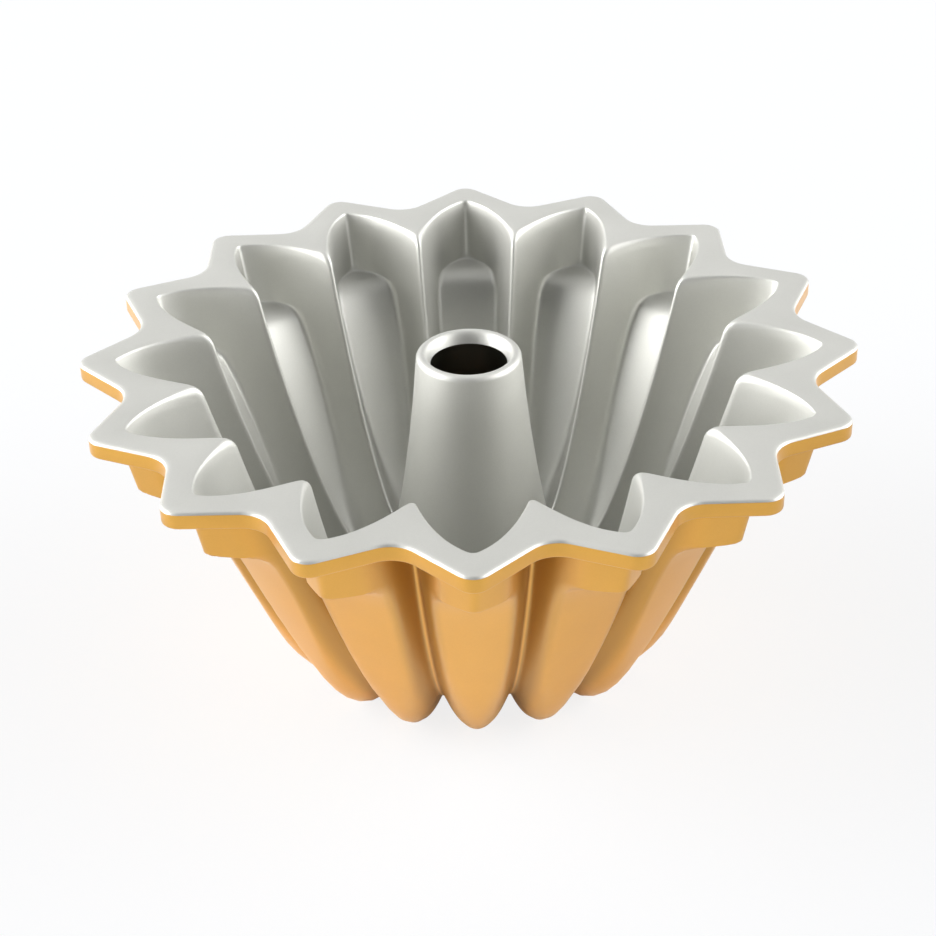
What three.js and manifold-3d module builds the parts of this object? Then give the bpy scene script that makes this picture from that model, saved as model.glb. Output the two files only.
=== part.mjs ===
// Fluted tube pan: a cast cake mould with pointed flutes, a star-shaped rim and an open tube in the middle.
// It is one aluminium casting with a silver release film inside and a gold enamel film outside.
// Millimetres, +Z up. The origin is the middle of the foot circle on the table, and a rim point faces -Y.
import * as THREE from 'three';
import { mergeVertices } from 'three/addons/utils/BufferGeometryUtils.js';
import Module from 'manifold-3d';

// Whole pan
const FLUTES = 16;
const HEIGHT = 116;
const WALL = 3;

// Rim flange, a star with straight flanks between rounded points and rounded notches
const TIP_RADIUS = 130;
const NOTCH_DEPTH = 15;
const TIP_ROUND = 4.5;
const NOTCH_ROUND = 10.4;
const FLANGE_THICKNESS = 6.3;
const RIM_EDGE = 1.2;

// Cavity flutes at the rim: the rim's width at a point, the depth of a flute and the easing of its mouth
const RIM_WIDTH = 11.7;
const FLUTE_DEPTH = 28.3;
const FLUTE_POWER = 1.5;
const CREST_DRAFT = 0.22;
const CREST_LIP = 1.3;
const RIDGE_LIP = 2.6;

// Ledge below the rim band, where each flute steps in to its petal face
const LEDGE_DEPTH = 21.5;
const LEDGE_REACH = 17;
const LEDGE_FALL = 3.5;

// Petal face from the ledge to the trough: its lean, a handle at each end, and how full it is across
const PETAL_LEAN = THREE.MathUtils.degToRad(32.9);
const PETAL_TOP_HANDLE = 28.9;
const PETAL_LOW_HANDLE = 22;
const PETAL_FULLNESS_INSIDE = 1.65;
const PETAL_FULLNESS_OUTSIDE = 1.95;
const FULLNESS_FADE = { from: 0.42, to: 0.72 };

// Trough round the tube: its lowest circle, the round of a flute there, and the part cut off for level feet
const TROUGH_RADIUS = 48.5;
const TROUGH_POWER = 2;
const POWER_FADE = { from: 0.4, to: 0.85 };
const FOOT_CUT = 1;

// Ridge line between two flutes, from the rim to the trough
const RIDGE_LEAN = THREE.MathUtils.degToRad(14);
const RIDGE_TOP_HANDLE = 49.5;
const RIDGE_LOW_HANDLE = 11;
const RIDGE_LIFT = 19.2;
const RIDGE_WALL = 7.5;

// Middle tube, flaring downwards round its open bore
const TUBE_DROP = 0.5;
const TUBE_TOP_RADIUS = 17.6;
const TUBE_WAIST_FLARE = 4.4;
const TUBE_FOOT_FLARE = 13.4;
const TUBE_FOOT_HEIGHT = 28;
const TUBE_WALL = 3.2;
const TUBE_HANDLE = 9;
const TUBE_LIP_ROUND = 2;
const TUBE_LIP_WIDTH = 4.8;
const BORE_EDGE_DEPTH = 4;
const BORE_BEVEL = 1.5;

// Finish films, the bare line left between the two, and a film's clearance on the metal
const FILM = 0.15;
const SEAM = 0.3;
const BOND = 0.02;

// Facets: columns in half a flute from crest to ridge, rows down the petal and round the trough
const HALF_FLUTE = [0, 0.2, 0.56, 1];
const PETAL_ROWS = 4;
const TROUGH_ROWS = 2;

// Sizes that follow from the ones above
const HALF_ANGLE = Math.PI / FLUTES;
const CREST_RADIUS = TIP_RADIUS - RIM_WIDTH;
const RIDGE_RADIUS = CREST_RADIUS - FLUTE_DEPTH;
const CAVITY_FLOOR = WALL - FOOT_CUT;
const TUBE_TOP = HEIGHT - TUBE_DROP;
const TUBE_WAIST = (TUBE_TOP + TUBE_FOOT_HEIGHT) / 2;
const TUBE_WAIST_RADIUS = TUBE_TOP_RADIUS + TUBE_WAIST_FLARE;
const TUBE_FOOT_RADIUS = TUBE_TOP_RADIUS + TUBE_FOOT_FLARE;
const BORE_RADIUS = TUBE_TOP_RADIUS - TUBE_LIP_WIDTH;
const BORE_TOP = TUBE_TOP - BORE_EDGE_DEPTH;

const { lerp, smoothstep } = THREE.MathUtils;
const point = (radius, height) => new THREE.Vector2(radius, height);
const steps = (count) => Array.from({ length: count }, (_, index) => (index + 1) / count);
const fade = (t, { from, to }) => smoothstep(t, from, to);

// Share of a flute's depth left at x, from 1 at its crest (x = 0) to 0 at its ridge (x = 1).
const flute = (x, power) => 1 - x ** power;

// Unit normal of a profile curve, on the side away from the cavity.
function awayFromCavity(curve, t) {
  const tangent = curve.getTangent(t);
  return point(-tangent.y, tangent.x);
}

// The parameter at which a falling profile passes a height, found by halving.
function parameterAtHeight(profile, height) {
  const halvings = 40;
  let above = 0;
  let below = 1;
  for (let step = 0; step < halvings; step += 1) {
    const middle = (above + below) / 2;
    if (profile(middle).y > height) {
      above = middle;
    } else {
      below = middle;
    }
  }
  return (above + below) / 2;
}

// Rim outline at an angle from a point: arc of the point, flank touching both arcs, arc of the notch.
function rimRadius(angle, inset) {
  const tipRound = Math.max(TIP_ROUND - inset, 0);
  const notchRound = NOTCH_ROUND + inset;
  const tip = point(0, TIP_RADIUS - inset - tipRound);
  const notchReach = TIP_RADIUS - NOTCH_DEPTH - inset + notchRound;
  const notch = point(Math.sin(HALF_ANGLE), Math.cos(HALF_ANGLE)).multiplyScalar(notchReach);
  const span = notch.clone().sub(tip);
  const flankAngle = Math.atan2(span.y, span.x) - Math.asin((tipRound + notchRound) / span.length());
  const normal = point(-Math.sin(flankAngle), Math.cos(flankAngle));
  const tipEnd = tip.clone().addScaledVector(normal, tipRound);
  const notchEnd = notch.clone().addScaledVector(normal, -notchRound);
  if (angle < Math.atan2(tipEnd.x, tipEnd.y)) {
    const across = tip.y * Math.sin(angle);
    return tip.y * Math.cos(angle) + Math.sqrt(tipRound ** 2 - across ** 2);
  }
  if (angle > Math.atan2(notchEnd.x, notchEnd.y)) {
    const across = notchReach * Math.sin(HALF_ANGLE - angle);
    return notchReach * Math.cos(HALF_ANGLE - angle) - Math.sqrt(notchRound ** 2 - across ** 2);
  }
  return tipEnd.dot(normal) / (normal.x * Math.sin(angle) + normal.y * Math.cos(angle));
}

// Falling curve of radius and height that leaves its start at a lean from upright and ends level.
function fallingCurve(start, lean, topHandle, end, lowHandle) {
  return new THREE.CubicBezierCurve(
    start,
    point(start.x - topHandle * Math.sin(lean), start.y - topHandle * Math.cos(lean)),
    point(end.x + lowHandle, end.y),
    end,
  );
}

// Cavity profiles along a ridge and along a petal's middle.
const ridgeCurve = fallingCurve(
  point(RIDGE_RADIUS, HEIGHT),
  RIDGE_LEAN,
  RIDGE_TOP_HANDLE,
  point(TROUGH_RADIUS, RIDGE_LIFT),
  RIDGE_LOW_HANDLE,
);
const petalCurve = fallingCurve(
  point(CREST_RADIUS - LEDGE_REACH, HEIGHT - LEDGE_DEPTH - LEDGE_FALL),
  PETAL_LEAN,
  PETAL_TOP_HANDLE,
  point(TROUGH_RADIUS, CAVITY_FLOOR),
  PETAL_LOW_HANDLE,
);

// Curve from the trough's lowest line up to the foot of the tube, for one side of the wall.
function troughCurve(lowest, foot) {
  const reach = (lowest.x - foot.x) / 2;
  const rise = Math.min(TUBE_HANDLE, (foot.y - lowest.y) / 2);
  return new THREE.CubicBezierCurve(
    lowest,
    point(lowest.x - reach, lowest.y),
    point(foot.x, foot.y - rise),
    foot,
  );
}

// One side of the fluted wall: wallDepth is 0 on the cavity side and 1 on the outside.
class FluteSide {
  constructor(wallDepth, petalFullness, tubeFoot) {
    this.wallDepth = wallDepth;
    this.petalFullness = petalFullness;
    this.tubeFoot = tubeFoot;
    this.crestWall = wallDepth * WALL / Math.cos(Math.atan(CREST_DRAFT));
  }

  ridge(t) {
    const wall = this.wallDepth * RIDGE_WALL;
    return ridgeCurve.getPoint(t).addScaledVector(awayFromCavity(ridgeCurve, t), wall);
  }

  petal(t) {
    const wall = this.wallDepth * WALL;
    return petalCurve.getPoint(t).addScaledVector(awayFromCavity(petalCurve, t), wall);
  }

  // Level row of the rim band, with the crest and the ridge eased outwards where it meets the rim.
  bandRow(height, crestLip = 0, ridgeLip = 0) {
    const crest = CREST_RADIUS + this.crestWall - CREST_DRAFT * (HEIGHT - height) + crestLip;
    const ridge = this.ridge(parameterAtHeight((t) => this.ridge(t), height)).x + ridgeLip;
    return (x) => point(lerp(ridge, crest, flute(x, FLUTE_POWER)), height);
  }

  // Row across a petal at t: full over its middle, down its side to the ridge, and rounder near the trough.
  petalRow(t) {
    const petal = this.petal(t);
    const ridgeStart = parameterAtHeight((u) => this.ridge(u), this.petal(0).y);
    const ridge = this.ridge(lerp(ridgeStart, 1, t));
    const fullness = lerp(this.petalFullness, 1, fade(t, FULLNESS_FADE));
    const power = lerp(FLUTE_POWER, TROUGH_POWER, fade(t, POWER_FADE));
    return (x) => ridge.clone().lerp(petal, Math.min(1, fullness * flute(x, power)));
  }

  // Row at s between the trough's lowest line and the foot of the tube, where the flutes fade out.
  troughRow(s) {
    const ridge = troughCurve(this.ridge(1), this.tubeFoot).getPoint(s);
    const petal = troughCurve(this.petal(1), this.tubeFoot).getPoint(s);
    return (x) => ridge.clone().lerp(petal, flute(x, TROUGH_POWER));
  }

  // Rows from the top of the petals down to the foot of the tube.
  fallingRows() {
    return [
      this.petalRow(0),
      ...steps(PETAL_ROWS).map((t) => this.petalRow(t)),
      ...steps(TROUGH_ROWS).map((s) => this.troughRow(s)),
    ];
  }
}

const roundRow = (radius, height) => () => point(radius, height);
const rimRow = (height, inset) => (x) => point(rimRadius(x * HALF_ANGLE, inset), height);

// Rows of the silver side, from the rim's outer edge over the cavity and the tube to the bore's edge.
function liningRows() {
  const side = new FluteSide(0, PETAL_FULLNESS_INSIDE, point(TUBE_FOOT_RADIUS, TUBE_FOOT_HEIGHT));
  return [
    rimRow(HEIGHT - RIM_EDGE, 0),
    rimRow(HEIGHT, RIM_EDGE),
    side.bandRow(HEIGHT, CREST_LIP, RIDGE_LIP),
    side.bandRow(HEIGHT - CREST_LIP),
    side.bandRow(HEIGHT - LEDGE_DEPTH),
    ...side.fallingRows(),
    roundRow(TUBE_WAIST_RADIUS, TUBE_WAIST),
    roundRow(TUBE_TOP_RADIUS, TUBE_TOP - TUBE_LIP_ROUND),
    roundRow(TUBE_TOP_RADIUS - TUBE_LIP_ROUND, TUBE_TOP),
    roundRow(BORE_RADIUS, BORE_TOP),
  ];
}

// Rows of the gold side, from the bore's edge down the bore, under the pan and up to the rim's outer edge.
function enamelRows() {
  const boreFoot = point(TUBE_FOOT_RADIUS - TUBE_WALL, TUBE_FOOT_HEIGHT - TUBE_WALL);
  const side = new FluteSide(1, PETAL_FULLNESS_OUTSIDE, boreFoot);
  return [
    roundRow(BORE_RADIUS + SEAM, BORE_TOP - SEAM),
    roundRow(BORE_RADIUS + BORE_BEVEL, BORE_TOP - BORE_BEVEL),
    roundRow(TUBE_WAIST_RADIUS - TUBE_WALL, TUBE_WAIST),
    ...side.fallingRows().reverse(),
    side.bandRow(HEIGHT - LEDGE_DEPTH - WALL),
    side.bandRow(HEIGHT - FLANGE_THICKNESS),
    rimRow(HEIGHT - FLANGE_THICKNESS, 0),
    rimRow(HEIGHT - RIM_EDGE - SEAM, 0),
  ];
}

// Angles round the pan with their share x of the way from the nearest crest to the ridge beside it.
const columns = Array.from({ length: FLUTES }).flatMap((_, index) => {
  const between = HALF_FLUTE.slice(1, -1).reverse();
  const rising = HALF_FLUTE.map((x) => ({ x, angle: (2 * index + x) * HALF_ANGLE }));
  const falling = between.map((x) => ({ x, angle: (2 * index + 2 - x) * HALF_ANGLE }));
  return [...rising, ...falling];
});

// Rows of radius and height carried round the pan as rings of points.
function ringsOf(rows) {
  return rows.map((row) => columns.map(({ x, angle }) => {
    const at = row(x);
    return new THREE.Vector3(at.x * Math.sin(angle), -at.x * Math.cos(angle), at.y);
  }));
}

// The same rings moved into the metal by a depth, along normals from the neighbouring points.
function sunkRings(rings, depth) {
  const last = rings.length - 1;
  return rings.map((ring, row) => ring.map((at, column) => {
    const around = ring[(column + 1) % ring.length].clone().sub(ring.at(column - 1));
    const along = rings[Math.min(row + 1, last)][column].clone().sub(rings[Math.max(row - 1, 0)][column]);
    return at.clone().addScaledVector(around.cross(along).normalize(), -depth);
  }));
}

// Closed skin over a loop of rings, with faces outwards and facets mirrored about each crest.
// The rows from backFrom on run back beside earlier ones, and take the same diagonals as those.
function loopGeometry(rings, backFrom = rings.length) {
  const count = columns.length;
  const positions = rings.flat().flatMap((at) => at.toArray());
  const triangles = [];
  rings.forEach((_, row) => {
    const next = ((row + 1) % rings.length) * count;
    columns.forEach((from, column) => {
      const beside = (column + 1) % count;
      const [a, b] = [row * count + column, row * count + beside];
      const [c, d] = [next + beside, next + column];
      const rising = (columns[beside].x > from.x) === (row < backFrom);
      triangles.push(...(rising ? [a, b, c, a, c, d] : [a, b, d, b, c, d]));
    });
  });
  const geometry = new THREE.BufferGeometry();
  geometry.setAttribute('position', new THREE.Float32BufferAttribute(positions, 3));
  geometry.setIndex(triangles);
  return geometry;
}

const wasm = await Module();
wasm.setup();

function solidOf(geometry) {
  return new wasm.Manifold(new wasm.Mesh({
    numProp: 3,
    vertProperties: new Float32Array(geometry.attributes.position.array),
    triVerts: new Uint32Array(geometry.index.array),
  }));
}

// Block that fills the space below the table, wider and deeper than the pan.
function belowTable() {
  const width = 2 * TIP_RADIUS;
  const block = new THREE.BoxGeometry(width, width, HEIGHT).translate(0, 0, -HEIGHT / 2);
  block.deleteAttribute('normal');
  block.deleteAttribute('uv');
  return mergeVertices(block);
}

// The part of a body above the table: the ends of the flutes are cut to level feet.
function aboveTable(geometry) {
  const cut = solidOf(geometry).subtract(solidOf(belowTable())).getMesh();
  const body = new THREE.BufferGeometry();
  body.setAttribute('position', new THREE.Float32BufferAttribute(cut.vertProperties, cut.numProp));
  body.setIndex(Array.from(cut.triVerts));
  return body;
}

function addPart(group, name, geometry, finish) {
  const mesh = new THREE.Mesh(geometry, new THREE.MeshStandardMaterial(finish));
  mesh.name = name;
  group.add(mesh);
}

const liningFace = ringsOf(liningRows());
const enamelFace = ringsOf(enamelRows());
const metalLoop = [liningFace, enamelFace].flatMap((face) => sunkRings(face, FILM + BOND));

// Film over a face: the face itself and its back, one film's thickness into the metal.
function filmOver(face) {
  return loopGeometry([...face, ...sunkRings(face, FILM).reverse()], face.length);
}

const pan = new THREE.Group();
addPart(pan, 'cast_body', aboveTable(loopGeometry(metalLoop)), {
  color: 0xa7a9ac,
  roughness: 0.5,
  metalness: 0.9,
});
addPart(pan, 'nonstick_lining', filmOver(liningFace), {
  color: 0xb9bab5,
  roughness: 0.42,
  metalness: 0.7,
});
addPart(pan, 'outer_enamel', aboveTable(filmOver(enamelFace)), {
  color: 0xd59a3c,
  roughness: 0.4,
  metalness: 0.7,
});

export default pan;
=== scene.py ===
"""Dresses a cast fluted tube pan: silver release lining, gold enamel and the casting between the two.

Each surface is worked out with numpy on a grid of rows, which follow the pan's profile, and columns, which go
round the pan. Shapes are in millimetres, in the frame of the solids that they stand for: +Z up, the origin on
the table under the tube, and a point of the rim facing -Y.
"""
import logging
import math
from dataclasses import dataclass, field, replace
from enum import Enum
from typing import Any

import bpy
import numpy as np
from mathutils import Matrix, Vector


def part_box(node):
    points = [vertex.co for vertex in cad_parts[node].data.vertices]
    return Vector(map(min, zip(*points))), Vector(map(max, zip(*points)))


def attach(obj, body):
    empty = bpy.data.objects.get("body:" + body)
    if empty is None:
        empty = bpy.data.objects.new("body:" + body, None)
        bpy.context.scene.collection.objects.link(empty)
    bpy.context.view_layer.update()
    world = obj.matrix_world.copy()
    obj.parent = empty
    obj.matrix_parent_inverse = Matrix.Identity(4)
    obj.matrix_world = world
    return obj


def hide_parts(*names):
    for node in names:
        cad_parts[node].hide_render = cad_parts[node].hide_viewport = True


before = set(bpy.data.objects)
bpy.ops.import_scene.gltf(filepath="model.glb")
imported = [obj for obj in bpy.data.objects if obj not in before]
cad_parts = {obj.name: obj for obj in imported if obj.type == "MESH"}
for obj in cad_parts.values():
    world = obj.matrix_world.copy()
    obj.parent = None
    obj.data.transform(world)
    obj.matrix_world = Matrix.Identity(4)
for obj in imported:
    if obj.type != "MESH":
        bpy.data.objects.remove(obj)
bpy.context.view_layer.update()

BODY = "root"
MM = 0.001

# Length that stands for none where a division needs more, in millimetres
TINY = 1e-6

Colour = tuple[float, float, float]
WHITE: Colour = (1.0, 1.0, 1.0)

# Numbers of the sockets that the Mix node has for colours
MIX_SHARE, MIX_FIRST, MIX_SECOND, MIX_RESULT = 0, 6, 7, 2

log = logging.getLogger("fluted_tube_pan")


class WallSide(Enum):
    """The two sides of the fluted wall."""

    CAVITY = "cavity"
    OUTSIDE = "outside"


class Reading(Enum):
    """What a mark in a finish goes by: height or radius in millimetres, or the way from a crest to the ridge.

    The way across runs from 0 to 1 and is a point attribute of each piece, under this name.
    """

    HEIGHT = "height"
    RADIUS = "radius"
    ACROSS = "across"


@dataclass(frozen=True)
class Facets:
    """Two straight facets on each side of a flute's crest, in shares of the flute's depth and half width.

    The first falls from the crest by slope as far as the bend, the second from there to the ridge.
    """

    slope: float
    bend: float
    softness: float

    @property
    def wall_slope(self) -> float:
        """Fall of the second facet, which ends at the ridge."""
        return (1.0 - self.slope * self.bend) / (1.0 - self.bend)


@dataclass(frozen=True)
class PanSizes:
    """Driving sizes of the casting, in millimetres, with leans in degrees."""

    tip_radius: float
    height: float
    flutes: int = 16
    wall: float = 3.0

    # Rim flange, a star with straight flanks between rounded points and rounded notches
    notch_depth: float = 15.0
    tip_round: float = 6.0
    notch_round: float = 10.4
    flange_thickness: float = 6.3
    flange_low_round: float = 0.8
    flange_root_round: float = 1.6
    rim_edge: float = 2.5
    rim_drop: float = 1.1

    # Cavity flutes at the rim: the rim's width at a point, the depth of a flute and the easing of its mouth
    rim_width: float = 11.7
    flute_depth: float = 28.3
    crest_draft: float = 0.22
    crest_lip: float = 0.8
    ridge_lip: float = 4.5
    ridge_lip_drop: float = 4.6
    ridge_lip_fade: float = 3.5
    crest_wall: float = 3.7

    # Cross-section of a flute: how pointed its arch is at the rim, the facets it turns into further down, the
    # share of it that each crest's round takes up, and the round of the ridge beside it
    arch_pitch: float = 0.45
    cavity_facets: Facets = Facets(slope=0.42, bend=0.42, softness=0.15)
    outer_facets: Facets = Facets(slope=0.62, bend=0.47, softness=0.04)
    crest_round: float = 0.05
    rim_crest_round: float = 0.12
    ledge_crest_round: float = 0.2
    outer_crest_round: float = 0.08
    rim_nose_round: float = 1.3
    nose_round: float = 0.9
    valley_round: float = 1.4

    # Ledge below the rim band, where each flute steps in to its petal face
    ledge_depth: float = 21.5
    ledge_reach: float = 16.0
    ledge_fall: float = 2.7
    ledge_wall: float = 1.7
    outer_ledge_fall: float = 1.0
    ledge_root_round: float = 3.0
    ledge_corner_round: float = 3.0
    shoulder_round: float = 11.0
    outer_shoulder_round: float = 17.0

    # Petal face from the ledge to the trough, and how much thinner its wall is above the foot
    petal_lean: float = 32.9
    petal_top_handle: float = 28.9
    petal_low_handle: float = 23.5
    petal_fillet: float = 0.6
    petal_side_round: float = 2.0
    petal_tuck: float = 1.8

    # Trough round the tube, with the part cut off below for level feet
    trough_radius: float = 48.5
    foot_cut: float = 1.0

    # Ridge line between two flutes
    ridge_lean: float = 14.0
    ridge_top_handle: float = 49.5
    ridge_low_handle: float = 11.0
    ridge_lift: float = 19.2
    ridge_wall: float = 7.5

    # Middle tube
    tube_top_radius: float = 17.6
    tube_waist_flare: float = 5.0
    tube_foot_flare: float = 13.4
    tube_foot_height: float = 28.0
    tube_wall: float = 3.2
    tube_handle: float = 9.0
    tube_lip_round: float = 2.2
    tube_lip_width: float = 4.7
    bore_edge_depth: float = 4.0
    bore_mouth_flare: float = 0.8
    bore_mouth_rise: float = 2.0
    bore_bevel: float = 1.5

    # Finish films, the bare line between the two, and a film's clearance on the metal
    film: float = 0.15
    seam: float = 0.06
    bond: float = 0.02

    @property
    def half_angle(self) -> float:
        """Angle from a flute's crest to the ridge beside it, in radians."""
        return math.pi / self.flutes

    @property
    def crest_radius(self) -> float:
        """Radius of the cavity at a rim point, at the rim's height."""
        return self.tip_radius - self.rim_width

    @property
    def ridge_radius(self) -> float:
        """Radius of the cavity at a ridge, at the rim's height."""
        return self.crest_radius - self.flute_depth

    @property
    def tube_foot(self) -> np.ndarray:
        """Radius and height of the tube's foot on the cavity side."""
        return np.array([self.tube_top_radius + self.tube_foot_flare, self.tube_foot_height])

    @property
    def bore_edge(self) -> np.ndarray:
        """Radius and height of the edge where the lining ends in the bore."""
        return np.array([self.tube_top_radius - self.tube_lip_width, self.height - self.bore_edge_depth])


@dataclass(frozen=True)
class RowCounts:
    """How many columns half a flute has, and how many rows each stretch of the profile has."""

    half_flute: int = 22
    column_easing: float = 0.65
    edge: int = 4
    rim: int = 1
    lip: int = 5
    band: int = 5
    corner: int = 5
    ledge: int = 7
    petal: int = 14
    trough: int = 7
    tube: int = 6
    tube_lip: int = 5


@dataclass(frozen=True)
class Run:
    """Rows over half a flute: the radius and the height at each row and column, in millimetres."""

    radius: np.ndarray
    height: np.ndarray

    def reversed(self) -> "Run":
        """The same rows in the opposite order."""
        return Run(self.radius[::-1], self.height[::-1])


def join_runs(runs: list[Run]) -> Run:
    """Joins runs of rows into one, in order.

    Args:
        runs: Runs over the same columns.

    Returns:
        One run with all the rows.
    """
    return Run(np.concatenate([run.radius for run in runs]), np.concatenate([run.height for run in runs]))


def round_run(profile: np.ndarray, columns: np.ndarray) -> Run:
    """Makes rows that are the same all the way round, from a profile.

    Args:
        profile: Radius and height of each row.
        columns: Column shares, for their number alone.

    Returns:
        A run with one row for each point of the profile.
    """
    level = np.ones_like(columns)[None, :]
    return Run(profile[:, :1] * level, profile[:, 1:] * level)


def smooth_step(low: float, high: float, t: np.ndarray) -> np.ndarray:
    """Share that rises from 0 at low to 1 at high as 3s^2 - 2s^3, with s the way between the two.

    Args:
        low: Where the rise starts.
        high: Where the rise ends.
        t: Values to look at.

    Returns:
        The share at each value.
    """
    share = np.clip((t - low) / (high - low), 0.0, 1.0)
    return share * share * (3.0 - 2.0 * share)


def soft_min(first: np.ndarray, second: np.ndarray, reach: np.ndarray) -> np.ndarray:
    """Smaller of two values, rounded with a parabola where they differ by less than reach.

    Args:
        first: One value.
        second: The other value.
        reach: Difference within which the two blend, above 0.

    Returns:
        The rounded minimum.
    """
    share = np.clip(0.5 + 0.5 * (second - first) / reach, 0.0, 1.0)
    return second * (1.0 - share) + first * share - reach * share * (1.0 - share)


def bezier(handles: np.ndarray, t: np.ndarray) -> np.ndarray:
    """Points of a cubic Bezier curve: its four handles weighted by the cubic Bernstein shares of t.

    Args:
        handles: Four points of radius and height.
        t: Parameters from 0 to 1.

    Returns:
        One point for each parameter.
    """
    rest = 1.0 - t
    shares = np.stack([rest**3, 3.0 * rest**2 * t, 3.0 * rest * t**2, t**3], axis=-1)
    return shares @ handles


def bezier_normal(handles: np.ndarray, t: np.ndarray) -> np.ndarray:
    """Unit normals of a cubic Bezier curve, a quarter turn to the left of its direction.

    Args:
        handles: Four points of radius and height.
        t: Parameters from 0 to 1.

    Returns:
        One unit vector for each parameter.
    """
    rest = 1.0 - t
    shares = np.stack([rest**2, 2.0 * rest * t, t**2], axis=-1)
    along = shares @ np.diff(handles, axis=0)
    turned = np.stack([-along[:, 1], along[:, 0]], axis=-1)
    return turned / np.linalg.norm(turned, axis=-1, keepdims=True)


def rounded_corner(
    before: np.ndarray, corner: np.ndarray, after: np.ndarray, radius: float, count: int
) -> np.ndarray:
    """Arc that touches both legs of a corner, from the leg that comes in to the leg that goes out.

    The arc's centre lies on the bisector, and its points turn evenly from one touching point to the other.

    Args:
        before: A point on the leg that comes in.
        corner: The sharp corner.
        after: A point on the leg that goes out.
        radius: Radius of the arc.
        count: Number of points, both ends among them.

    Returns:
        Points of the arc.
    """
    incoming = (before - corner) / np.linalg.norm(before - corner)
    outgoing = (after - corner) / np.linalg.norm(after - corner)
    half = math.acos(float(np.clip(incoming @ outgoing, -1.0, 1.0))) / 2.0
    bisector = (incoming + outgoing) / np.linalg.norm(incoming + outgoing)
    centre = corner + bisector * radius / math.sin(half)
    start = corner + incoming * radius / math.tan(half) - centre
    end = corner + outgoing * radius / math.tan(half) - centre
    sweep = math.pi - 2.0 * half
    turn = np.linspace(0.0, 1.0, count)[:, None]
    return centre + (np.sin((1.0 - turn) * sweep) * start + np.sin(turn * sweep) * end) / math.sin(sweep)


def parabola_through(points: np.ndarray, heights: np.ndarray) -> np.ndarray:
    """Profile whose radius is the parabola in height through three points.

    Args:
        points: Three points of radius and height.
        heights: Heights of the rows.

    Returns:
        Radius and height of each row.
    """
    return np.stack([np.polyval(np.polyfit(points[:, 1], points[:, 0], 2), heights), heights], axis=-1)


@dataclass(frozen=True)
class FluteShape:
    """How the cross-section of a flute changes, with one value a row in each field.

    faceted is the share of straight facets in place of a pointed arch, and rounded the share of a plain
    parabola in place of both. soft is the share of the half width that the round of the crest takes up, and
    nose the radius at the ridge.
    """

    faceted: np.ndarray
    rounded: np.ndarray
    soft: np.ndarray
    nose: np.ndarray


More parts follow.
